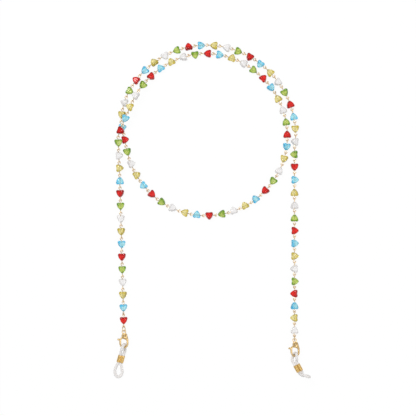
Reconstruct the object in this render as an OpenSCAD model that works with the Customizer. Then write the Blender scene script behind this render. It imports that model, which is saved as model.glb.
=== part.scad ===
// Eyeglasses chain strap: heart beads on wire links, with a lobster clasp and a soft temple
// loop at each end. It lies flat in one and a half turns, up along +Z, the two tails along -Y.

/* [Chain] */
// Beaded wire links from end to end
link_count = 94; // [90:1:94]
// Links in one colour repeat, which is one rigid section of the model
section_links = 5; // [5:1:5]
// Diameter of the link wire
wire_d = 0.5; // [0.4:0.05:0.6]
// Outer diameter of the eye at each end of a link
eye_d = 2; // [1.8:0.1:2.2]
// Clearance between two wires that hook into each other
hook_gap = 0.05; // [0.03:0.01:0.1]
// End play of a bead between its two eyes
bead_play = 0.2; // [0.05:0.05:0.3]

/* [Heart beads] */
// Width across the two lobes
bead_w = 4.8; // [4.4:0.1:4.8]
// Height from the lobes to the point, along the wire
bead_h = 4.5; // [4.2:0.1:4.8]
// Thickness in the middle
bead_t = 3.2; // [2.8:0.1:3.4]
// Thickness at the rim, half a width out
rim_t = 2; // [1.6:0.1:2.2]
// Radius of each lobe
lobe_r = 0.85; // [0.7:0.05:1]
// Radius of the blunt point
point_r = 0.6; // [0.4:0.05:0.8]
// Offset of the hole towards the lobes in the beads that are drilled across
cross_off = 0.35; // [0:0.05:0.5]
// Diameter of the hole for the wire
bore_d = 0.8; // [0.65:0.05:1]
// Largest roll of a bead about its wire, in degrees
bead_roll = 26; // [0:2:30]

/* [Jump rings] */
// Outer diameter of a jump ring
ring_d = 3.6; // [3.4:0.1:4]
// Wire diameter of a jump ring
ring_wire_d = 0.55; // [0.5:0.05:0.65]

/* [Lobster clasps] */
// Outer diameter of the eye of a clasp
clasp_eye_d = 2.6; // [2.5:0.1:2.8]
// Hole in that eye
clasp_hole_d = 1.6; // [1.4:0.05:1.6]
// Thickness of the eye
clasp_eye_t = 0.8; // [0.7:0.1:1]
// Thickness of the body over the slot
clasp_t = 2; // [1.8:0.1:2.4]
// Distance from the eye to the rivet, along the clasp
rivet_drop = 2.5; // [2.3:0.1:2.8]
// Distance from the eye to the centre of the hook's bow
bow_drop = 7.2; // [7:0.1:7.6]
// Inner radius of the hook's bow
bow_r = 1.6; // [1.5:0.05:1.8]
// Diameter of the hook's bar
bar_d = 1.15; // [1:0.05:1.2]
// Diameter of the rivet
rivet_d = 0.7; // [0.6:0.05:0.8]
// Thickness of the lever where it sits in the slot
lever_t = 0.9; // [0.7:0.05:1]
// Length of the thumb tab past the gate
tab_len = 1.1; // [0.8:0.1:1.4]

/* [Temple loops] */
// Diameter of the silicone tube
tube_d = 1.8; // [1.5:0.1:1.9]
// Length of the small eye that hangs in the clasp
small_len = 5.8; // [5.6:0.2:8]
// Fullness of the small eye, its largest half width about half of this
small_full = 4; // [3.8:0.2:4.6]
// Length of the loop that grips the temple of the glasses
temple_len = 7.8; // [7:0.2:16]
// Fullness of the temple loop
temple_full = 4.2; // [3:0.2:5]
// Length of the metal sleeve
sleeve_len = 4.4; // [4:0.2:6]
// Wall of the metal sleeve
sleeve_wall = 0.25; // [0.2:0.05:0.4]
// Way that the sleeve can slide towards the temple loop
sleeve_travel = 1.5; // [0.5:0.25:3]

/* [Hidden] */
$fn = 32;
section_count = ceil(link_count / section_links);
SECTION_NAMES = [for (k = [1:section_count]) str(k < 10 ? "0" : "", k)];
SIDES = ["left", "right"];
END_PARTS = ["jump_ring", "clasp_body", "clasp_rivet", "clasp_spring", "clasp_lever",
             "temple_loop", "loop_sleeve"];

gold = "#d9b36a";
silicone = "#eceae4";
GLASS = ["#d02a24", "#7fd0e6", "#cdb850", "#eef0f0", "#8fb33c"];

// ---- wire eyes: the far eye of a link lies flat, the near eye of the next stands upright
eye_r = (eye_d - wire_d) / 2;
half_hook = (wire_d + hook_gap) / 2;
eye_inset = eye_r - half_hook;
link_pitch = bead_h + bead_play + 2 * (eye_inset + eye_d / 2);

// ---- lay of the chain: a straight left tail, a spiral of one and a half turns, a right tail
// Winding angle (0 at the left, 90 at the top, clockwise) and distance from the loop's centre
SPIRAL = [[-5, 54], [3, 51.2], [12, 49], [22, 48.3], [40, 47.9], [90, 47.75], [130, 46.85],
          [160, 47.3], [200, 48.6], [240, 49.1], [300, 49.6], [340, 49.2], [357, 49.3],
          [369, 52.4], [385, 53.1], [410, 53.05], [450, 52.75], [480, 52.35], [510, 52.4],
          [532, 52.8], [545, 53], [560, 52.8]];
loop_centre = [-2.77, 45.87];
spiral_start = -2.4;
tail_links = 15;
spiral_links = 64;
left_tail_lean = 1.6;
right_tail_lean = 0;
// Height of the wires that keeps the lowest bead, rolled and drilled off its middle, off the floor
face_r = (pow(bead_w / 2, 2) + pow((bead_t - rim_t) / 2, 2)) / (bead_t - rim_t);
floor_z = face_r - (face_r - bead_t / 2) * cos(bead_roll) + cross_off * sin(bead_roll) + 0.02;
// Rise of the upper strand over the lower one where they cross, by junction
lift = bead_t + 0.6;
LIFT = [[12, 0], [14, lift * 0.75], [15, lift], [18, lift], [19, lift * 0.75], [21, 0]];
function junction_z(i) = floor_z + lookup(i, LIFT);
// Slack of a link between its neighbours: the single round and the end of the right tail lie looser
LOOSE = [[18, 0.05], [22, 0.17], [54, 0.17], [58, 0.05], [88, 0.05], [90, 0.4]];
function laid_pitch(i) = link_pitch - lookup(i, LOOSE);
function flat_step(i) = sqrt(pow(laid_pitch(i), 2) - pow(junction_z(i + 1) - junction_z(i), 2));
function spiral_r(a) = lookup(a, SPIRAL);
function wind_step(a, r2, step) =
    let (r1 = spiral_r(a)) acos((r1 * r1 + r2 * r2 - step * step) / (2 * r1 * r2));
function next_wind(a, step, b, tries) =
    tries == 0 ? b : next_wind(a, step, a + wind_step(a, spiral_r(b), step), tries - 1);
WIND = [for (i = 0, a = spiral_start; i <= spiral_links;
             a = next_wind(a, flat_step(tail_links + i), a + 9, 5), i = i + 1) a];
function spiral_point(a) = loop_centre + spiral_r(a) * [-cos(a), sin(a)];
LEFT_FOOT = spiral_point(WIND[0]);
RIGHT_FOOT = spiral_point(WIND[spiral_links]);
LEFT_RUN = [for (i = 0, s = 0; i <= tail_links; s = s + flat_step(tail_links - 1 - i), i = i + 1) s];
right_start = tail_links + spiral_links;
RIGHT_RUN = [for (i = right_start, s = 0; i <= link_count; s = s + laid_pitch(i), i = i + 1) s];
function flat_point(i) =
    i < tail_links
    ? LEFT_FOOT + LEFT_RUN[tail_links - i] * [sin(left_tail_lean), -cos(left_tail_lean)]
    : i <= right_start
    ? spiral_point(WIND[i - tail_links])
    : RIGHT_FOOT + RIGHT_RUN[i - right_start] * [sin(right_tail_lean), -cos(right_tail_lean)];
JUNCTIONS = [for (i = [0:link_count]) concat(flat_point(i), junction_z(i))];
function heading(i) =
    let (d = JUNCTIONS[i + 1] - JUNCTIONS[i]) atan2(d[1], d[0]);
function elevation(i) = asin((JUNCTIONS[i + 1][2] - JUNCTIONS[i][2]) / laid_pitch(i));

module on_link(i) {
    translate((JUNCTIONS[i] + JUNCTIONS[i + 1]) / 2)
        rotate([0, -elevation(i), heading(i)])
            children();
}

// ---- heart bead: lobes towards +X, point towards -X
lobe_x = bead_h / 2 - lobe_r;
lobe_y = bead_w / 2 - lobe_r;
point_x = point_r - bead_h / 2;
lobe_steps = 9;
point_steps = 3;
// Way that the point of each bead looks as the chain is followed, a section at a time: ahead, back,
// to the left or to the right. The last two are drilled across.
BEAD_WAYS = ["bbbbb", "bbbbb", "barrb", "rbllb", "rllbr", "balba", "labbb", "baaba", "arrra",
             "lrabb", "blrrb", "rrblr", "lblrb", "labba", "rrbra", "bbarr", "albbb", "lllrl",
             "rbrbb"];
WAY_ANGLES = [["a", 0], ["l", 90], ["b", 180], ["r", 270]];
function bead_way(i) =
    let (way = BEAD_WAYS[floor(i / section_links)][i % section_links])
    [for (w = WAY_ANGLES) if (w[0] == way) w[1]][0];
function is_across(i) = bead_way(i) % 180 != 0;
function bead_off(i) = is_across(i) ? cross_off : 0;
function roll(i) = bead_roll * sin(i * 137.5);
// Roll of the first links about their wires, which turns the first eye halfway to flat, because
// one jump ring joins it to the flat eye of the clasp
LINK_ROLL = [[0, 45], [3, 0]];

// Half of the outline, from the blunt point round one lobe to the shallow cleft, in short facets
flank_run = [lobe_x - point_x, lobe_y];
flank_out = atan2(flank_run[1], flank_run[0]) + acos((point_r - lobe_r) / norm(flank_run));
cleft_slope = 12;
cleft_x = lobe_x + lobe_r * cos(cleft_slope) - (lobe_y - lobe_r * sin(cleft_slope)) * tan(cleft_slope);
HALF_HEART = [for (k = [0:point_steps - 1])
                  [point_x, 0] + point_r * unit(180 - (180 - flank_out) * k / point_steps),
              for (k = [0:lobe_steps])
                  [lobe_x, lobe_y]
                  + lobe_r * unit(flank_out - (flank_out + cleft_slope) * k / lobe_steps),
              [cleft_x, 0]];
function unit(a) = [cos(a), sin(a)];

module heart_outline() {
    half = len(HALF_HEART);
    polygon([for (p = HALF_HEART) p,
             for (k = [half - 2:-1:1]) [HALF_HEART[k][0], -HALF_HEART[k][1]]]);
}

module heart_body() {
    intersection() {
        linear_extrude(height = bead_t, center = true)
            heart_outline();
        for_both_faces()
            sphere(r = face_r, $fn = 64);
    }
}

module for_both_faces() {
    intersection() {
        translate([0, 0, bead_t / 2 - face_r])
            children();
        translate([0, 0, face_r - bead_t / 2])
            children();
    }
}

module placed_bead(i) {
    on_link(i)
        rotate([roll(i), 0, 0])
            difference() {
                rotate([0, 0, bead_way(i) + 180])
                    translate([-bead_off(i), 0, 0])
                        heart_body();
                rotate([0, 90, 0])
                    cylinder(d = bore_d, h = bead_w * 2, center = true);
            }
}

module wire_ring(r, wire) {
    rotate_extrude()
        translate([r, 0])
            circle(d = wire);
}

module eye_link() {
    eye_x = link_pitch / 2 - eye_inset;
    translate([-eye_x, 0, 0])
        rotate([90, 0, 0])
            wire_ring(eye_r, wire_d);
    translate([eye_x, 0, 0])
        wire_ring(eye_r, wire_d);
    rotate([0, 90, 0])
        cylinder(d = wire_d, h = 2 * (eye_x - eye_r), center = true);
}

function section_range(k) =
    [k * section_links : min((k + 1) * section_links, link_count) - 1];

module beads(k) {
    for (i = section_range(k))
        color(GLASS[i % len(GLASS)])
            placed_bead(i);
}

module eye_links(k) {
    color(gold)
        for (i = section_range(k))
            on_link(i)
                rotate([lookup(i, LINK_ROLL), 0, 0])
                    eye_link();
}

// ---- the small eye of the temple loop hangs in the hook, tilted, and sets the clasp's height
tube_r = tube_d / 2;
neck_half = tube_r + 0.03;
small_roll = 70;
function half_width(x, full) = sqrt(x) * (neck_half + full * (1 - x));
function widest(full) = half_width((neck_half + full) / (3 * full), full);
clasp_z = widest(small_full) * sin(small_roll) + tube_r + 0.03;

// ---- end fittings, in a frame whose origin is the last wire of the chain, outwards along -Y
// Settings for the left end come first, then the right end
TAIL_LEAN = [left_tail_lean, right_tail_lean];
RING_ROLL = [62, 90];
CLASP_TURN = [0, 4];
eye_wall = (clasp_eye_d - clasp_hole_d) / 2;
ring_r = (ring_d - ring_wire_d) / 2;
RING_PLAY = [0.12, 0.3];
CLASP_PLAY = [0.3, 0.6];
function link_to_ring(side) = (wire_d + ring_wire_d) / 2 + RING_PLAY[side];
function ring_reach(side) = 2 * ring_r - (ring_wire_d + eye_wall) / 2 - CLASP_PLAY[side];
function ring_pitch(side) = asin((clasp_z - floor_z) / ring_reach(side));
function clasp_out(side) =
    ring_reach(side) * cos(ring_pitch(side)) - link_to_ring(side) + (clasp_eye_d + clasp_hole_d) / 4;

module at_end(side) {
    link = side == 0 ? 0 : link_count - 1;
    centre = (JUNCTIONS[link] + JUNCTIONS[link + 1]) / 2;
    reach = link_pitch / 2 + half_hook;
    translate(centre + reach * [sin(TAIL_LEAN[side]), -cos(TAIL_LEAN[side]), 0])
        rotate([0, 0, TAIL_LEAN[side]])
            children();
}

module at_clasp(side) {
    at_end(side)
        translate([0, -clasp_out(side), clasp_z - floor_z])
            rotate([0, 0, CLASP_TURN[side]])
                children();
}

module jump_ring(side) {
    color(gold)
        at_end(side)
            translate([0, link_to_ring(side), 0])
                rotate([-ring_pitch(side), 0, 0])
                    translate([0, -ring_r, 0])
                        rotate([0, RING_ROLL[side], 0])
                            wire_ring(ring_r, ring_wire_d);
}

// ---- lobster clasp, lying flat: eye at the origin, hook towards -Y, gate on the -X side
rivet_at = [0.3, -rivet_drop];
bow_at = [-0.2, -bow_drop];
bow_mid = bow_r + bar_d / 2;
bar_x = bow_at[0] + bow_mid;
gate_x = bow_at[0] - bow_mid;
elbow_at = [gate_x, rivet_at[1] - 2.1];
boss_r = 0.9;
cavity_r = boss_r + 0.4;
slot_t = lever_t + 0.1;
slot_wall = 0.2;
slot_past = 2;
fit_gap = 0.05;
// The gate ends just inside the bow, and the hook's tip is cut to an arc a little wider
gate_reach = rivet_at[1] - bow_at[1] + bow_r - 0.2;

module bow_bar(from, sweep) {
    translate(bow_at)
        rotate([0, 0, from])
            rotate_extrude(angle = sweep)
                translate([bow_mid, 0])
                    circle(d = bar_d);
}

// The straight bars are a shade thicker than the bow and lap over its ends
module side_bar(x, top) {
    lap = 0.3;
    translate([x, bow_at[1] - lap, 0])
        rotate([-90, 0, 0])
            cylinder(d = bar_d + 0.04, h = top - bow_at[1] + lap);
}

module clasp_shield() {
    inner = bow_at[0] + bow_r;
    outer = inner + bar_d;
    polygon([[-0.75, -0.6], [0.8, -0.6], [rivet_at[0] + 1.65, rivet_at[1] + 0.1],
             [outer, elbow_at[1]], [outer, elbow_at[1] - 1], [inner, elbow_at[1] - 1],
             [inner - 0.2, elbow_at[1] - 0.3], [rivet_at[0] - 0.6, elbow_at[1] + 0.3],
             [rivet_at[0] - 1.6, elbow_at[1] + 0.9], [rivet_at[0] - 1.75, rivet_at[1] - 0.1]]);
    translate(rivet_at)
        circle(r = 1.75);
}

module clasp_slot() {
    translate([0, 0, -slot_t / 2]) {
        translate(rivet_at)
            cylinder(r = cavity_r, h = slot_t);
        translate([gate_x - bar_d, elbow_at[1] - slot_past, 0])
            cube([bar_x - gate_x + bar_d / 2 - slot_wall, rivet_at[1] - elbow_at[1] + slot_past, slot_t]);
    }
}

module clasp_body(side) {
    color(gold)
        at_clasp(side)
            difference() {
                union() {
                    cylinder(d = clasp_eye_d, h = clasp_eye_t, center = true);
                    linear_extrude(height = clasp_t, center = true)
                        clasp_shield();
                    side_bar(bar_x, elbow_at[1] - 0.5);
                    bow_bar(-158, 158);
                }
                cylinder(d = clasp_hole_d, h = clasp_t * 2, center = true);
                clasp_slot();
                translate(rivet_at)
                    cylinder(d = rivet_d + fit_gap, h = clasp_t * 2, center = true);
                intersection() {
                    translate(rivet_at)
                        cylinder(r = gate_reach + 0.1, h = clasp_t, center = true);
                    translate([gate_x - bar_d, bow_at[1] - bow_mid - bar_d, -clasp_t / 2])
                        cube([bow_mid + bar_d, bow_mid * 2, clasp_t]);
                }
            }
}

module thumb_tab() {
    stem = lever_t / 2;
    bulb = bar_d / 2;
    bevel = bulb - stem;
    top = tab_len + bulb;
    polygon([[0, 0], [stem, 0], [stem, tab_len - stem], [bulb, tab_len - stem + bevel],
             [bulb, top - bevel * 2], [stem, top - bevel], [stem / 2, top], [0, top]]);
}

module clasp_lever(side) {
    arm = elbow_at - rivet_at;
    color(gold)
        at_clasp(side)
            difference() {
                union() {
                    translate(rivet_at)
                        cylinder(r = boss_r, h = lever_t, center = true);
                    translate(rivet_at)
                        rotate([0, 0, atan2(arm[1], arm[0])])
                            translate([0, -bar_d / 2, -lever_t / 2])
                                cube([norm(arm), bar_d, lever_t]);
                    intersection() {
                        union() {
                            side_bar(gate_x, elbow_at[1]);
                            bow_bar(180, 50);
                        }
                        translate(rivet_at)
                            cylinder(r = gate_reach, h = clasp_t, center = true);
                    }
                    translate(elbow_at)
                        cylinder(d = bar_d + 0.1, h = lever_t + 0.1, center = true);
                    translate(elbow_at)
                        rotate([0, -90, 0])
                            rotate_extrude()
                                thumb_tab();
                }
                translate(rivet_at)
                    cylinder(d = rivet_d + 2 * fit_gap, h = clasp_t, center = true);
            }
}

module clasp_rivet(side) {
    head_t = 0.15;
    color(gold)
        at_clasp(side)
            translate(rivet_at)
                difference() {
                    union() {
                        cylinder(d = rivet_d, h = clasp_t, center = true);
                        for (m = [-1, 1])
                            translate([0, 0, m * (clasp_t + head_t) / 2])
                                cylinder(d = rivet_d * 2, h = head_t, center = true);
                    }
                    cylinder(d = rivet_d / 2, h = clasp_t * 2, center = true);
                }
}

module clasp_spring(side) {
    leaf_t = 0.12;
    leaf_w = lever_t - 0.2;
    color("silver")
        at_clasp(side)
            translate(rivet_at)
                rotate([0, 0, 15])
                    rotate_extrude(angle = 130, $fn = 48)
                        translate([cavity_r - 0.1 - leaf_t, -leaf_w / 2])
                            square([leaf_t, leaf_w]);
}

// ---- temple loop: one closed silicone tube, pinched to a figure of eight by the sleeve
neck_len = sleeve_len + sleeve_travel + 0.6;
turn_len = 3;
tube_sides = 10;
loop_play = 0.3;
apex_at = [bow_at[0] + 0.3, bow_at[1] - bow_r + tube_r + loop_play];
neck_end = small_len + neck_len;
loop_end = neck_end + temple_len;
// Lean in the plane, rise and roll of the loop along its length, for the left and right ends
LEAN = [[[0, -14], [small_len - 1.5, -14], [small_len, -18], [neck_end, -18],
         [neck_end + turn_len, -3]],
        [[0, -10], [small_len - 2.5, -20], [small_len, 25], [neck_end, 25],
         [neck_end + turn_len, 73]]];
RISE = [[[0, 0], [small_len - 1.5, 0], [small_len, -4], [neck_end, -4],
         [neck_end + turn_len, -6]],
        [[0, 0], [neck_end, 0], [neck_end + turn_len, 58]]];
ROLL = [[[0, small_roll], [small_len / 2, small_roll], [small_len, 20], [neck_end, 20],
         [neck_end + turn_len, 8]],
        [[0, -small_roll], [small_len * 0.4, -small_roll], [small_len * 0.65, -38],
         [small_len, -15], [neck_end, -15], [neck_end + turn_len, -85]]];
// Middle of the sleeve: part of the way down the neck on the left, at its far end on the right
first_seat = small_len + sleeve_len / 2 + 0.1;
SEATS = [first_seat + sleeve_travel * 0.6, first_seat + sleeve_travel];
small_steps = 9;
temple_steps = 13;
STATIONS = [for (j = [0:small_steps]) pow(j / small_steps, 2) * small_len,
            small_len + sleeve_len / 2, small_len + sleeve_len, neck_end,
            for (j = [1:temple_steps])
                neck_end + temple_len * (1 - pow(1 - j / temple_steps, 2))];
function station_half(s) =
    s <= small_len ? half_width(s / small_len, small_full)
    : s <= neck_end ? neck_half
    : half_width((loop_end - s) / temple_len, temple_full);
function along(side, s) =
    let (a = lookup(s, LEAN[side]), e = lookup(s, RISE[side]))
    [sin(a) * cos(e), -cos(a) * cos(e), sin(e)];
function across(side, s) = let (a = lookup(s, LEAN[side])) [cos(a), sin(a), 0];
function spread(side, s) =
    let (r = lookup(s, ROLL[side]), lat = across(side, s))
    cos(r) * lat - sin(r) * cross(along(side, s), lat);
function flat_normal(side, s) =
    let (r = lookup(s, ROLL[side]), lat = across(side, s))
    sin(r) * lat + cos(r) * cross(along(side, s), lat);
function centre_line(side) =
    [for (j = 0, c = [0, 0, 0]; j < len(STATIONS);
          c = c + (j + 1 < len(STATIONS) ? STATIONS[j + 1] - STATIONS[j] : 0)
              * along(side, (STATIONS[j] + STATIONS[min(j + 1, len(STATIONS) - 1)]) / 2),
          j = j + 1) c];
// Station indices once around the closed tube: out along one strand, back along the other
last = len(STATIONS) - 1;
ROUND = [for (j = [0:last]) [j, 1], for (j = [last - 1:-1:1]) [j, -1]];

module at_apex(side) {
    at_clasp(side)
        translate(apex_at)
            children();
}

module closed_tube(path, normals, r, sides) {
    n = len(path);
    rings = [for (j = [0:n - 1])
        let (t = path[(j + 1) % n] - path[(j + n - 1) % n],
             u = t / norm(t),
             b = normals[j] - (normals[j] * u) * u,
             n1 = b / norm(b),
             n2 = cross(u, n1))
        for (k = [0:sides - 1])
            path[j] + r * (cos(360 * k / sides) * n1 + sin(360 * k / sides) * n2)];
    faces = [for (j = [0:n - 1], k = [0:sides - 1])
        let (a = j * sides, b = ((j + 1) % n) * sides, m = (k + 1) % sides)
        each [[a + k, b + k, b + m], [a + k, b + m, a + m]]];
    polyhedron(points = rings, faces = faces, convexity = 6);
}

module temple_loop(side) {
    line = centre_line(side);
    color(silicone)
        at_apex(side)
            closed_tube([for (p = ROUND) line[p[0]]
                             + p[1] * station_half(STATIONS[p[0]]) * spread(side, STATIONS[p[0]])],
                        [for (p = ROUND) flat_normal(side, STATIONS[p[0]])],
                        tube_r, tube_sides);
}

module sleeve_outline(r) {
    square([neck_half * 2, r * 2], center = true);
    for (m = [-1, 1])
        translate([m * neck_half, 0])
            circle(r = r);
}

module loop_sleeve(side) {
    seat = SEATS[side];
    line = centre_line(side);
    color(gold)
        at_apex(side)
            translate(line[small_steps] + (seat - small_len) * along(side, seat))
                rotate([-lookup(seat, RISE[side]), 0, lookup(seat, LEAN[side])])
                    rotate([90, lookup(seat, ROLL[side]), 0])
                        linear_extrude(height = sleeve_len, center = true)
                            difference() {
                                sleeve_outline(tube_r + fit_gap + sleeve_wall);
                                sleeve_outline(tube_r + fit_gap);
                            }
}

for (k = [0:section_count - 1]) {
    beads(k);
    eye_links(k);
}
for (side = [0, 1]) {
    jump_ring(side);
    clasp_body(side);
    clasp_rivet(side);
    clasp_spring(side);
    clasp_lever(side);
    temple_loop(side);
    loop_sleeve(side);
}
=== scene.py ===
import math
import random

import bmesh
import bpy
import numpy as np
from mathutils import Matrix, Vector
from mathutils.kdtree import KDTree


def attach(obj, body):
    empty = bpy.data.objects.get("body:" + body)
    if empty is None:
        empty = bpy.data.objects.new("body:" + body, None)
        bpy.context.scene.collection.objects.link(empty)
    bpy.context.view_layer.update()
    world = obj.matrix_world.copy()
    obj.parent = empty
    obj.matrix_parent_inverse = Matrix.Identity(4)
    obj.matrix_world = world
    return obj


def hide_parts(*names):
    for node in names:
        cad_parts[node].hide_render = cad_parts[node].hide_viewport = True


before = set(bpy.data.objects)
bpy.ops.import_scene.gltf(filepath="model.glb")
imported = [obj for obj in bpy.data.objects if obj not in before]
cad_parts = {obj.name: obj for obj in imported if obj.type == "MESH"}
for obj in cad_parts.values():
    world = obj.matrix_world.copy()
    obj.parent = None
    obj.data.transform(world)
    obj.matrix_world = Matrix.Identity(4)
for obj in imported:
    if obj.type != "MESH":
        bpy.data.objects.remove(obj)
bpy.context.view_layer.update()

MM = 0.001
SIDES = ["left", "right"]
SECTIONS = sorted(n[-2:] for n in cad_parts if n.startswith("beads_"))
BORE_R = 0.4 * MM
SLEEVE_WALL = 0.25 * MM
CRIMP_DIP = 0.5

# ---- colours, as they render in plain light
# Each glass runs from a deep tint to a pale one; the deep tint is painted shade towards a bead's rim, and
# the colour of the darker streaks in the melt
RED = ((0.46, 0.0, 0.001), (0.95, 0.014, 0.006))
BLUE = ((0.09, 0.62, 0.95), (0.50, 0.91, 0.97))
YELLOW = ((0.70, 0.55, 0.05), (0.97, 0.87, 0.40))
CLEAR = ((0.86, 0.83, 0.82), (0.97, 0.95, 0.94))
GREEN = ((0.15, 0.36, 0.002), (0.66, 0.78, 0.18))
GROUND_BORE = (0.86, 0.85, 0.82)
WIRE_GOLD = (0.84, 0.64, 0.40)
CAST_GOLD = (0.80, 0.57, 0.27)
SLEEVE_GOLD = (0.80, 0.53, 0.19)
STEEL = (0.55, 0.55, 0.54)
SILICONE = (0.80, 0.77, 0.75)
WHITE = (1.0, 1.0, 1.0)


# ---- materials
class Shader:
    """A Principled material whose procedural inputs are added one by one."""

    def __init__(self, name, colour, roughness, **values):
        self.material = bpy.data.materials.new(name)
        self.material.use_nodes = True
        self.tree = self.material.node_tree
        self.bsdf = self.tree.nodes["Principled BSDF"]
        self.bsdf.inputs["Base Color"].default_value = (*colour, 1)
        self.bsdf.inputs["Roughness"].default_value = roughness
        for key, value in values.items():
            self.bsdf.inputs[key.replace("_", " ")].default_value = value
        self.bump = None

    def node(self, kind, **inputs):
        made = self.tree.nodes.new(kind)
        for key, value in inputs.items():
            made.inputs[key.replace("_", " ")].default_value = value
        return made

    def link(self, out, into):
        self.tree.links.new(out, into)

    def place(self):
        """Object coordinates, shifted by a random amount for each piece so that no two look alike."""
        where = self.node("ShaderNodeTexCoord")
        info = self.node("ShaderNodeObjectInfo")
        add = self.node("ShaderNodeVectorMath")
        add.operation = "ADD"
        self.link(where.outputs["Object"], add.inputs[0])
        self.link(info.outputs["Random"], add.inputs[1])
        return add.outputs["Vector"]

    def noise(self, size, detail=3.0, stretch=None):
        """Noise whose features are about size metres across, stretched along the axes where asked."""
        noise = self.node("ShaderNodeTexNoise", Scale=1 / size, Detail=detail)
        place = self.place()
        if stretch:
            scale = self.node("ShaderNodeMapping", Scale=stretch)
            self.link(place, scale.inputs["Vector"])
            place = scale.outputs["Vector"]
        self.link(place, noise.inputs["Vector"])
        return noise.outputs["Fac"]

    def rim(self, near, far):
        """From 0 to 1 as the way out from the piece's own Z axis grows from near to far: the mask of the
        painted shade at a bead's rim.
        """
        where = self.node("ShaderNodeTexCoord")
        flat = self.node("ShaderNodeMapping", Scale=(1, 1, 0))
        out = self.node("ShaderNodeVectorMath")
        out.operation = "LENGTH"
        spread = self.node("ShaderNodeMapRange", From_Min=near, From_Max=far)
        self.link(where.outputs["Object"], flat.inputs["Vector"])
        self.link(flat.outputs["Vector"], out.inputs[0])
        self.link(out.outputs["Value"], spread.inputs["Value"])
        return spread.outputs["Result"]

    def ramp(self, value, low, high, low_colour, high_colour):
        ramp = self.node("ShaderNodeValToRGB")
        ramp.color_ramp.elements[0].position = low
        ramp.color_ramp.elements[0].color = (*low_colour, 1)
        ramp.color_ramp.elements[1].position = high
        ramp.color_ramp.elements[1].color = (*high_colour, 1)
        self.link(value, ramp.inputs["Fac"])
        return ramp.outputs["Color"]

    def tint(self, value, low_colour, high_colour, low=0.35, high=0.65):
        """Base colour that runs from one colour to another with a value."""
        self.link(self.ramp(value, low, high, low_colour, high_colour), self.bsdf.inputs["Base Color"])

    def rough(self, value, low, high):
        """Roughness between low and high, with a value."""
        spread = self.node("ShaderNodeMapRange", To_Min=low, To_Max=high)
        spread.inputs["From Min"].default_value = 0.3
        spread.inputs["From Max"].default_value = 0.7
        self.link(value, spread.inputs["Value"])
        self.link(spread.outputs["Result"], self.bsdf.inputs["Roughness"])

    def dent(self, value, height):
        """Relief of about height metres, on top of what is there already."""
        bump = self.node("ShaderNodeBump", Distance=height)
        self.link(value, bump.inputs["Height"])
        if self.bump:
            self.link(self.bump, bump.inputs["Normal"])
        self.bump = bump.outputs["Normal"]
        self.link(self.bump, self.bsdf.inputs["Normal"])


def shade(colour, factor):
    return tuple(min(1.0, c * factor) for c in colour)


def glass(name, tints, passing=0.5):
    """Pressed glass: pale in the middle, deepened by painted shade towards the rim, streaks in the melt,
    fine scuffs.
    """
    made = Shader(name, tints[1], 0.05, Transmission_Weight=passing, IOR=1.52, Specular_IOR_Level=0.3)
    melt = made.node("ShaderNodeMapRange", From_Min=0.3, From_Max=0.7, To_Min=-0.35, To_Max=0.35)
    made.link(made.noise(1.3 * MM, 2.0), melt.inputs["Value"])
    # Painted shade: the pale tint deepens to the deep one towards the bead's rim, and the melt's streaks
    # add to it at random
    melt_and_rim_shade = made.node("ShaderNodeMath")
    made.link(made.rim(0.7 * MM, 2.4 * MM), melt_and_rim_shade.inputs[0])
    made.link(melt.outputs["Result"], melt_and_rim_shade.inputs[1])
    made.tint(melt_and_rim_shade.outputs[0], tints[1], tints[0], 0.15, 0.85)
    made.rough(made.noise(0.35 * MM, 6.0), 0.03, 0.12)
    made.dent(made.noise(0.9 * MM, 2.0), 0.012 * MM)
    return made.material


def ground_glass(name, colour):
    """The wall of a drilled hole, left matt and pale by the drill."""
    made = Shader(name, colour, 0.6)
    made.tint(made.noise(0.3 * MM, 4.0), shade(colour, 0.85), shade(colour, 1.05))
    made.dent(made.noise(0.12 * MM, 4.0), 0.01 * MM)
    return made.material


def gold(name, colour, roughness, grain):
    """Gold plate: warmer where it is thin, softly worn, with the fine lines of drawn or cast metal."""
    made = Shader(name, colour, roughness, Metallic=1.0)
    made.tint(made.noise(0.8 * MM, 4.0), shade(colour, 0.86), shade(colour, 1.06))
    made.rough(made.noise(0.25 * MM, 5.0), roughness * 0.7, roughness * 1.5)
    made.dent(made.noise(grain, 4.0), 0.012 * MM)
    return made.material


def silicone(name, colour):
    """Milky silicone: light goes in and scatters, and the skin is nearly smooth."""
    made = Shader(name, colour, 0.4, IOR=1.41, Subsurface_Weight=0.25, Subsurface_Scale=0.4 * MM)
    made.bsdf.inputs["Subsurface Radius"].default_value = (1.0, 0.95, 0.9)
    made.tint(made.noise(2.5 * MM, 3.0), shade(colour, 0.96), shade(colour, 1.02))
    made.rough(made.noise(0.5 * MM, 5.0), 0.34, 0.5)
    made.dent(made.noise(0.7 * MM, 3.0), 0.005 * MM)
    return made.material


def steel(name, colour):
    """Drawn spring steel, with roughness that runs in streaks."""
    made = Shader(name, colour, 0.35, Metallic=1.0)
    made.tint(made.noise(0.6 * MM, 4.0), shade(colour, 0.8), shade(colour, 1.1))
    made.rough(made.noise(0.2 * MM, 5.0, (1, 8, 1)), 0.25, 0.5)
    return made.material


GLASSES = [
    ("red", glass("glass_red", RED)),
    ("blue", glass("glass_blue", BLUE)),
    ("yellow", glass("glass_yellow", YELLOW)),
    ("clear", glass("glass_clear", CLEAR, 0.2)),
    ("green", glass("glass_green", GREEN)),
]
BORE = ground_glass("ground_bore", GROUND_BORE)
WIRE = gold("wire_gold", WIRE_GOLD, 0.2, 0.3 * MM)
CAST = gold("cast_gold", CAST_GOLD, 0.17, 0.9 * MM)
SLEEVE = gold("sleeve_gold", SLEEVE_GOLD, 0.26, 0.5 * MM)
SPRING = steel("spring_steel", STEEL)
SOFT = silicone("milky_silicone", SILICONE)


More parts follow.
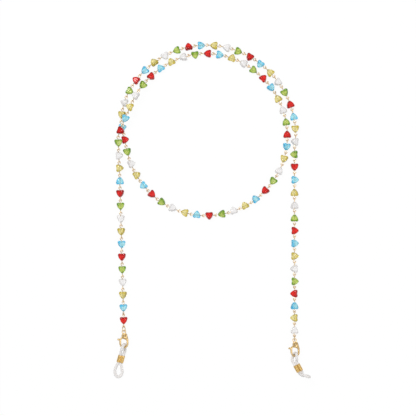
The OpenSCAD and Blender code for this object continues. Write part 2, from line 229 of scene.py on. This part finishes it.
# ---- where the solids of the frame lie
class Solid:
    """One solid of a CAD node: its corners, and the middles and areas of its faces."""

    def __init__(self, verts):
        faces = {f for v in verts for f in v.link_faces}
        self.corners = np.array([v.co[:] for v in verts])
        self.faces = np.array([f.calc_center_median()[:] for f in faces])
        self.areas = np.array([f.calc_area() for f in faces])
        self.middle = middle(self.corners)

    def axes(self):
        """The directions in which its surface spreads, least first."""
        return spread_axes(self.faces, self.areas)


def welded(mesh):
    """A bmesh of a CAD node's mesh, with the corners that its faces share joined."""
    bm = bmesh.new()
    bm.from_mesh(mesh)
    bmesh.ops.remove_doubles(bm, verts=bm.verts, dist=0.001 * MM)
    return bm


def joined_to(start, seen):
    """The corners that edges join to a first one, each marked as seen."""
    seen.add(start)
    todo = [start]
    verts = []
    while todo:
        vert = todo.pop()
        verts.append(vert)
        for edge in vert.link_edges:
            other = edge.other_vert(vert)
            if other not in seen:
                seen.add(other)
                todo.append(other)
    return verts


def islands(node):
    """The separate solids of a CAD node."""
    bm = welded(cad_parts[node].data)
    seen = set()
    found = [Solid(joined_to(vert, seen)) for vert in bm.verts if vert not in seen]
    bm.free()
    return found


def middle(corners):
    return (corners.min(0) + corners.max(0)) / 2


def spread_axes(points, weights=None):
    """The directions in which a cloud of points spreads, least first."""
    return np.linalg.eigh(np.cov(points.T, aweights=weights))[1].T


def frame_at(origin, x, z):
    """The matrix of a small frame with these X and Z directions."""
    x = x / np.linalg.norm(x)
    z = z - np.dot(z, x) * x
    z = z / np.linalg.norm(z)
    made = Matrix.Identity(4)
    for column, axis in enumerate((x, np.cross(z, x), z, origin)):
        for row in range(3):
            made[row][column] = axis[row]
    return made


def into(matrix, corners):
    """Corners in the coordinates of a small frame."""
    back = np.array(matrix.inverted())
    return corners @ back[:3, :3].T + back[:3, 3]


def nearest(solids, place):
    return min(solids, key=lambda s: np.linalg.norm(s.middle - place))


BEADS = {s: islands("beads_" + s) for s in SECTIONS}
LINKS = {s: islands("eye_links_" + s) for s in SECTIONS}


def link_frames():
    """One frame for each link: X along the chain, Y square to the plane of the near eye."""
    made = []
    last = islands("jump_ring_left")[0].middle
    for section in SECTIONS:
        left = list(LINKS[section])
        while left:
            link = nearest(left, last)
            left.remove(link)
            x = spread_axes(link.corners)[2]
            if np.dot(x, link.middle - last) < 0:
                x = -x
            mean = link.corners.mean(0)
            along = (link.corners - mean) @ x
            origin = mean + x * (along.min() + along.max()) / 2
            near = link.corners[along < along.min() + 1.2 * MM]
            made.append((section, frame_at(origin, x, np.cross(x, spread_axes(near)[0]))))
            last = origin
    return made


def lobe_lead(corners, ahead, z):
    """How much wider a bead is towards one side than away from it."""
    local = into(frame_at(corners.mean(0), ahead, z), corners)
    local = local - middle(local)
    wide = np.abs(local[:, 1])
    reach = local[:, 0].max() / 2
    return wide[local[:, 0] > reach].max() - wide[local[:, 0] < -reach].max()


def bead_frame(bead, link):
    """X towards the lobes, Z through the thickness, the origin in the middle of the bead."""
    ahead = np.array(link.to_3x3())[:, 0]
    thin = bead.axes()[0]
    side = np.cross(thin, ahead)
    x = max((ahead, -ahead, side, -side), key=lambda d: lobe_lead(bead.corners, d, thin))
    made = frame_at(bead.middle, x, thin)
    return made @ Matrix.Translation(middle(into(made, bead.corners)))


# ---- meshes
def new_piece(name, mesh, body, node, matrix=None):
    piece = bpy.data.objects.new(name, mesh)
    bpy.context.scene.collection.objects.link(piece)
    if matrix is not None:
        piece.matrix_world = matrix
    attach(piece, body)
    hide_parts(node)
    return piece


def mesh_from(name, points, faces, material, smooth=True):
    mesh = bpy.data.meshes.new(name)
    mesh.from_pydata([tuple(p) for p in points], [], faces)
    mesh.materials.append(material)
    mesh.validate()
    mesh.polygons.foreach_set("use_smooth", [smooth] * len(mesh.polygons))
    return mesh


def tube_mesh(name, path, radius, sides, material):
    """A round wire along an open path, with softly rounded ends."""
    path = [Vector(p) for p in path]
    steps = [(path[min(i + 1, len(path) - 1)] - path[max(i - 1, 0)]).normalized() for i in range(len(path))]
    normal = steps[0].orthogonal().normalized()
    points = []
    for i, (p, t) in enumerate(zip(path, steps)):
        normal = (normal - normal.dot(t) * t).normalized()
        across = t.cross(normal)
        from_end = min(i, len(path) - 1 - i)
        r = radius * (0.72 if from_end == 0 else 1.0)
        for k in range(sides):
            a = 2 * math.pi * k / sides
            points.append(p + r * (math.cos(a) * normal + math.sin(a) * across))
    faces = []
    for i in range(len(path) - 1):
        for k in range(sides):
            m = (k + 1) % sides
            faces.append((i * sides + k, i * sides + m, (i + 1) * sides + m, (i + 1) * sides + k))
    faces.append(tuple(reversed(range(sides))))
    faces.append(tuple((len(path) - 1) * sides + k for k in range(sides)))
    return mesh_from(name, points, faces, material)


def softened(path, passes):
    """A path with its bends eased, its ends kept."""
    path = [np.array(p, float) for p in path]
    for _ in range(passes):
        path = [path[0]] + [(path[i - 1] + 2 * path[i] + path[i + 1]) / 4
                            for i in range(1, len(path) - 1)] + [path[-1]]
    return path


# Turn of a wire eye, in degrees, and how far beyond the eye's middle its stem begins, in eye radii
EYE_TURN = range(44, 331, 11)
STEM_START = 1.22
STEM_STEP = 0.25 * MM


def link_mesh(corners, link):
    """A wire whose ends are turned into eyes: out of the stem, round, and nearly back to it."""
    local = into(link, corners)
    reach = float(local[:, 0].max())
    eye_out = float(np.abs(local[:, 1]).max())
    wire_r = float(np.abs(local[local[:, 0] > reach - eye_out / 2, 2]).max())
    eye_r = eye_out - wire_r
    centre = reach - eye_out
    turns = [math.radians(a) for a in EYE_TURN]
    eye = [(centre - eye_r * math.cos(a), eye_r * math.sin(a)) for a in turns]
    stem = [(centre - eye_r * STEM_START - k * STEM_STEP, 0) for k in range(4)]
    far = [(x, y, 0) for x, y in eye + stem]
    near = [(-x, 0, y) for x, y in eye + stem]
    inner = centre - eye_r * STEM_START - 3 * STEM_STEP
    straight = [(-inner + 2 * inner * k / 8, 0, 0) for k in range(1, 8)]
    path = softened(near + straight + far[::-1], 2)
    return tube_mesh("wire_link", path, wire_r, 12, WIRE)


def unit(angle):
    return np.array([math.cos(angle), math.sin(angle)])


# Radii of the lobes and the point of a heart, and the swell of its flanks, as shares of its width
LOBE_SHARE = 0.2
POINT_SHARE = 0.215
FLANK_CROWN = 0.06
CLEFT_SLOPE = math.radians(12)


def heart_outline(width, height):
    """Corners of a blunt heart, from its point round one lobe to the shallow cleft, then back."""
    lobe_r = LOBE_SHARE * width
    point_r = POINT_SHARE * width
    lobe = np.array([height / 2 - lobe_r, width / 2 - lobe_r])
    tip = np.array([point_r - height / 2, 0])
    run = lobe - tip
    flank = math.atan2(run[1], run[0]) + math.acos((point_r - lobe_r) / np.hypot(*run))
    half = [tip + point_r * unit(a) for a in np.linspace(math.pi, flank, 3)]
    half.append((half[-1] + lobe + lobe_r * unit(flank)) / 2 + FLANK_CROWN * width * unit(flank))
    half += [lobe + lobe_r * unit(a) for a in np.linspace(flank, -CLEFT_SLOPE, 5)]
    shoulder = lobe + lobe_r * unit(-CLEFT_SLOPE)
    half.append(np.array([shoulder[0] - shoulder[1] * math.tan(CLEFT_SLOPE), 0]))
    return half + [p * np.array([1, -1]) for p in half[-2:0:-1]]


# Rows of corners of a cut heart: share of the outline, share of the thickness, turned half a corner
HEART_ROWS = [(0.58, 0.50, 0), (0.83, 0.43, 1), (0.965, 0.27, 0), (1.0, 0.0, 0),
              (0.965, -0.27, 0), (0.83, -0.43, 1), (0.58, -0.50, 0)]
# How far the middle of the table lies towards the lobes, as a share of the height, and the worn edges
TABLE_SHIFT = 0.06
WORN_EDGE = 0.05 * MM


def heart_mesh(name, size, drill, material, seed):
    """A cut glass heart: a table on each face, two rows of facets round it, and a full girdle."""
    dice = random.Random(seed)
    height, width, thick = size * dice.uniform(0.98, 1.0)
    outline = heart_outline(width, height)
    count = len(outline)
    mid = np.array([TABLE_SHIFT * height, 0])
    points = []
    faces = []
    for scale, share, turned in HEART_ROWS:
        for k in range(count):
            p = (outline[k] + outline[(k + 1) % count]) / 2 if turned else outline[k]
            p = mid + (p - mid) * scale * dice.uniform(0.988, 1.0)
            points.append((p[0], p[1], share * thick * dice.uniform(0.99, 1.0)))
    for row in range(len(HEART_ROWS) - 1):
        faces += facets_between(row * count, count, HEART_ROWS[row][2], HEART_ROWS[row + 1][2])
    faces.append(tuple(range(count)))
    faces.append(tuple(range(len(points) - count, len(points))))
    mesh = mesh_from(name, points, faces, material, smooth=False)
    bm = bmesh.new()
    bm.from_mesh(mesh)
    bmesh.ops.recalc_face_normals(bm, faces=bm.faces)
    bmesh.ops.bevel(bm, geom=list(bm.edges), offset=WORN_EDGE, segments=1, affect="EDGES",
                    profile=0.5, clamp_overlap=True)
    bm.to_mesh(mesh)
    bm.free()
    return bored(mesh, drill, material)


def facets_between(first, count, turned, turned_next):
    """Facets between two rows of corners: four-sided, or triangles where one row is turned."""
    faces = []
    for k in range(count):
        a, b = first + k, first + (k + 1) % count
        c, d = a + count, b + count
        if turned == turned_next:
            faces.append((a, b, d, c))
        elif turned_next:
            faces += [(a, b, c), (c, b, d)]
        else:
            faces += [(a, d, c), (a, b, d)]
    return faces


def bored(mesh, drill, material):
    """The mesh with a round hole along the drill's own Z, whose wall is matt."""
    solid = bpy.data.objects.new("solid", mesh)
    bit_mesh = bpy.data.meshes.new("bit")
    bm = bmesh.new()
    bmesh.ops.create_cone(bm, cap_ends=True, segments=20, radius1=BORE_R, radius2=BORE_R,
                          depth=10 * MM, matrix=drill)
    bm.to_mesh(bit_mesh)
    bm.free()
    bit = bpy.data.objects.new("bit", bit_mesh)
    for o in (solid, bit):
        bpy.context.scene.collection.objects.link(o)
    cut = solid.modifiers.new("bore", "BOOLEAN")
    cut.object = bit
    cut.operation = "DIFFERENCE"
    cut.solver = "EXACT"
    result = applied(solid)
    for o in (solid, bit):
        bpy.data.objects.remove(o)
    result.name = mesh.name
    result.materials.clear()
    result.materials.append(material)
    result.materials.append(BORE)
    from_drill = drill.inverted()
    for face in result.polygons:
        face.use_smooth = False
        face.material_index = int((from_drill @ face.center).xy.length < BORE_R)
    return result


def applied(obj):
    """A new mesh with the object's modifiers applied."""
    graph = bpy.context.evaluated_depsgraph_get()
    return bpy.data.meshes.new_from_object(obj.evaluated_get(graph))


def node_copy(node):
    """A scratch object with a copy of a CAD node's mesh."""
    rough = bpy.data.objects.new("rough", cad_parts[node].data.copy())
    bpy.context.scene.collection.objects.link(rough)
    return rough


def cast_mesh(name, node, voxel, passes, material):
    """The node's own form as a casting: its edges run round, as poured and tumbled metal has them."""
    rough = node_copy(node)
    bm = welded(rough.data)
    bm.to_mesh(rough.data)
    bm.free()
    remesh = rough.modifiers.new("skin", "REMESH")
    remesh.mode = "VOXEL"
    remesh.voxel_size = voxel
    remesh.use_smooth_shade = True
    ease = rough.modifiers.new("tumbled", "SMOOTH")
    ease.factor = 0.5
    ease.iterations = passes
    mesh = applied(rough)
    bpy.data.objects.remove(rough)
    mesh.name = name
    mesh.materials.clear()
    mesh.materials.append(material)
    return mesh


def domed(mesh, share, reach):
    """Lowers the flat faces of a casting towards their edges, so that they stand as a low pillow."""
    places = np.array([v.co[:] for v in mesh.vertices])
    slant = np.array([v.normal.z for v in mesh.vertices])
    walls = places[np.abs(slant) < 0.35]
    tree = KDTree(len(walls))
    for number, place in enumerate(walls):
        tree.insert(place, number)
    tree.balance()
    mid = middle(places)[2]
    outer = (slant * (places[:, 2] - mid) > 0) & (np.abs(slant) > 0.35)
    for number in np.flatnonzero(outer):
        apart = tree.find(places[number])[2]
        places[number, 2] -= (places[number, 2] - mid) * share * math.exp(-(apart / reach) ** 2)
    mesh.vertices.foreach_set("co", places.ravel())
    mesh.update()
    return mesh


def soft_tube_mesh(name, node, material):
    """The closed silicone tube, its facets run into one smooth round tube."""
    rough = node_copy(node)
    bm = welded(rough.data)
    bmesh.ops.join_triangles(bm, faces=bm.faces, angle_face_threshold=math.radians(60),
                             angle_shape_threshold=math.radians(60), cmp_seam=False)
    bm.to_mesh(rough.data)
    bm.free()
    round_off = rough.modifiers.new("round", "SUBSURF")
    round_off.levels = 2
    round_off.render_levels = 2
    mesh = applied(rough)
    bpy.data.objects.remove(rough)
    mesh.name = name
    mesh.materials.clear()
    mesh.materials.append(material)
    mesh.polygons.foreach_set("use_smooth", [True] * len(mesh.polygons))
    return mesh


def crimp_outline(apart, radius, inset):
    """A section round two tubes side by side, which dips between them."""
    r = radius - inset
    arc = [(apart + r * math.cos(a), r * math.sin(a)) for a in np.linspace(-math.pi / 2, math.pi / 2, 13)]
    top = [(x * apart, r * (1 - CRIMP_DIP * (1 - x * x) ** 2)) for x in np.linspace(0.8, -0.8, 9)]
    half = arc + top
    return half + [(-x, -y) for x, y in half]


def crimp_mesh(name, corners, place, material):
    """A sleeve pressed round the two tubes: two barrels side by side, its rims turned in a little."""
    local = into(place, corners)
    wide, radius, end = (float(v) for v in np.abs(local).max(0))
    inner = SLEEVE_WALL * 0.6
    skin = [(0.12 * MM, -end), (0.03 * MM, 0.08 * MM - end), (0, 0.25 * MM - end)]
    skin += [(0, end * k / 4) for k in range(-3, 4)]
    skin += [(o, -z) for o, z in skin[2::-1]]
    skin += [(inner, end - 0.05 * MM), (inner, 0.05 * MM - end)]
    rows = [[(x, y, z) for x, y in crimp_outline(wide - radius, radius, inset)] for inset, z in skin]
    count = len(rows[0])
    faces = []
    for row in range(len(rows)):
        after = (row + 1) % len(rows)
        for k in range(count):
            m = (k + 1) % count
            faces.append((row * count + k, row * count + m, after * count + m, after * count + k))
    return mesh_from(name, [p for row in rows for p in row], faces, material)


# ---- camera: straight down on the strap
PHOTO_WIDE = 249.6 * MM
CENTRE = Vector((-2.33 * MM, 1.12 * MM, 0))
LENS = 100.0
SENSOR = 36.0
camera = bpy.data.objects.new("camera", bpy.data.cameras.new("camera"))
camera.data.lens = LENS
camera.data.sensor_width = SENSOR
camera.data.clip_start = 0.01
camera.location = CENTRE + Vector((0, 0, PHOTO_WIDE * LENS / SENSOR))
bpy.context.scene.collection.objects.link(camera)
bpy.context.scene.camera = camera


# ---- beads and links
def drill_of(place, link):
    """The matrix of the drill in the bead's own frame: its Z lies along the wire of the link."""
    wire = place.inverted() @ link
    return wire @ Matrix.Rotation(math.pi / 2, 4, "Y")


def dress_chain():
    hearts = {}
    wire = None
    for number, (section, link) in enumerate(link_frames()):
        centre = np.array(link.translation)
        bead = nearest(BEADS[section], centre)
        if wire is None:
            wire = link_mesh(nearest(LINKS[section], centre).corners, link)
        place = bead_frame(bead, link)
        colour, material = GLASSES[number % len(GLASSES)]
        drill = drill_of(place, link)
        across = abs(drill.col[2][1]) > 0.5
        variant = (colour, "across" if across else "along", number // len(GLASSES) % 3)
        if variant not in hearts:
            local = into(place, bead.corners)
            hearts[variant] = heart_mesh("heart_%s_%s_%d" % variant, local.max(0) - local.min(0),
                                         drill, material, str(variant))
        body = "section_" + section
        new_piece("bead_%02d" % (number + 1), hearts[variant], body, "beads_" + section,
                  place)
        new_piece("link_%02d" % (number + 1), wire, body, "eye_links_" + section, link)


# ---- end fittings
def ring_mesh(name, corners, place):
    """An open jump ring: the wire's two ends meet with a hair's gap."""
    local = into(place, corners)
    wire_r = float(np.abs(local[:, 2]).max())
    turn_r = float(np.abs(local[:, :2]).max()) - wire_r
    path = [(turn_r * math.cos(math.radians(a)), turn_r * math.sin(math.radians(a)), 0)
            for a in range(2, 359, 6)]
    return tube_mesh(name, path, wire_r, 14, WIRE)


def dress_ends():
    for side in SIDES:
        corners = islands("jump_ring_" + side)[0].corners
        axes = spread_axes(corners)
        place = frame_at(corners.mean(0), axes[2], axes[0])
        new_piece("open_ring_" + side, ring_mesh("open_ring_" + side, corners, place), "ring_" + side,
                  "jump_ring_" + side, place)
        body = cast_mesh("cast_body_" + side, "clasp_body_" + side, 0.07 * MM, 10, CAST)
        new_piece(body.name, domed(body, 0.34, 0.5 * MM), "clasp_" + side, "clasp_body_" + side)
        lever = cast_mesh("cast_lever_" + side, "clasp_lever_" + side, 0.06 * MM, 5, CAST)
        new_piece(lever.name, lever, "lever_" + side, "clasp_lever_" + side)
        new_piece("silicone_" + side, soft_tube_mesh("silicone_" + side, "temple_loop_" + side, SOFT),
                  "loop_" + side, "temple_loop_" + side)
        corners = islands("loop_sleeve_" + side)[0].corners
        axes = spread_axes(corners)
        place = frame_at(middle_along(corners, axes), axes[1], axes[2])
        new_piece("crimp_" + side, crimp_mesh("crimp_" + side, corners, place, SLEEVE),
                  "sleeve_" + side, "loop_sleeve_" + side, place)
        for node, material in (("clasp_rivet_", CAST), ("clasp_spring_", SPRING)):
            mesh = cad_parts[node + side].data
            mesh.materials.clear()
            mesh.materials.append(material)


def middle_along(corners, axes):
    """The middle of a cloud of corners, measured along its own axes."""
    return middle(corners @ axes.T) @ axes


# ---- floor and light
# Share of white that the floor shows to the camera, to metal and to glass; the rest keeps the shadow
FLOOR_GLOW = 0.95


def largest(made, one, other):
    """A node that gives the larger of two values."""
    node = made.node("ShaderNodeMath")
    node.operation = "MAXIMUM"
    made.link(one, node.inputs[0])
    made.link(other, node.inputs[1])
    return node.outputs[0]


def floor_white():
    """A white floor that looks evenly lit to the camera, in reflections and through glass."""
    made = Shader("floor_white", (0.98, 0.98, 0.98), 0.7)
    glow = made.node("ShaderNodeEmission", Strength=1.0)
    glow.inputs["Color"].default_value = (*WHITE, 1)
    mix = made.node("ShaderNodeMixShader")
    path = made.node("ShaderNodeLightPath")
    seen = largest(made, path.outputs["Is Camera Ray"], path.outputs["Is Glossy Ray"])
    seen = largest(made, seen, path.outputs["Is Transmission Ray"])
    share = made.node("ShaderNodeMath")
    share.operation = "MULTIPLY"
    share.inputs[1].default_value = FLOOR_GLOW
    made.link(seen, share.inputs[0])
    made.link(share.outputs[0], mix.inputs["Fac"])
    made.link(made.bsdf.outputs[0], mix.inputs[1])
    made.link(glow.outputs[0], mix.inputs[2])
    made.link(mix.outputs[0], made.tree.nodes["Material Output"].inputs["Surface"])
    return made.material


def add_floor():
    size = 4.0
    mesh = bpy.data.meshes.new("floor")
    mesh.from_pydata([(-size, -size, 0), (size, -size, 0), (size, size, 0), (-size, size, 0)], [],
                     [(0, 1, 2, 3)])
    floor = bpy.data.objects.new("floor", mesh)
    bpy.context.scene.collection.objects.link(floor)
    mesh.materials.append(floor_white())


def add_light(name, place, size, watts):
    lamp = bpy.data.lights.new(name, "AREA")
    lamp.shape = "DISK"
    lamp.size = size
    lamp.energy = watts
    obj = bpy.data.objects.new(name, lamp)
    obj.location = place
    obj.rotation_euler = (-Vector(place)).to_track_quat("-Z", "Y").to_euler()
    bpy.context.scene.collection.objects.link(obj)


def add_world():
    """An even bright sky over a dimmer horizon, as round a product under a softbox."""
    world = bpy.data.worlds.new("studio")
    bpy.context.scene.world = world
    world.use_nodes = True
    tree = world.node_tree
    back = tree.nodes["Background"]
    back.inputs["Color"].default_value = (0.98, 0.99, 1.0, 1)
    where = tree.nodes.new("ShaderNodeTexCoord")
    parts = tree.nodes.new("ShaderNodeSeparateXYZ")
    height = tree.nodes.new("ShaderNodeMapRange")
    for key, value in (("From Min", 0.0), ("From Max", 0.7), ("To Min", 0.1), ("To Max", 0.8)):
        height.inputs[key].default_value = value
    tree.links.new(where.outputs["Generated"], parts.inputs[0])
    tree.links.new(parts.outputs["Z"], height.inputs["Value"])
    tree.links.new(height.outputs["Result"], back.inputs["Strength"])


dress_chain()
dress_ends()
add_floor()
add_world()
add_light("key", (-0.35, 0.45, 0.9), 0.45, 4.0)
add_light("fill", (0.6, -0.3, 0.8), 0.6, 1.6)
bpy.context.scene.view_settings.view_transform = "Standard"
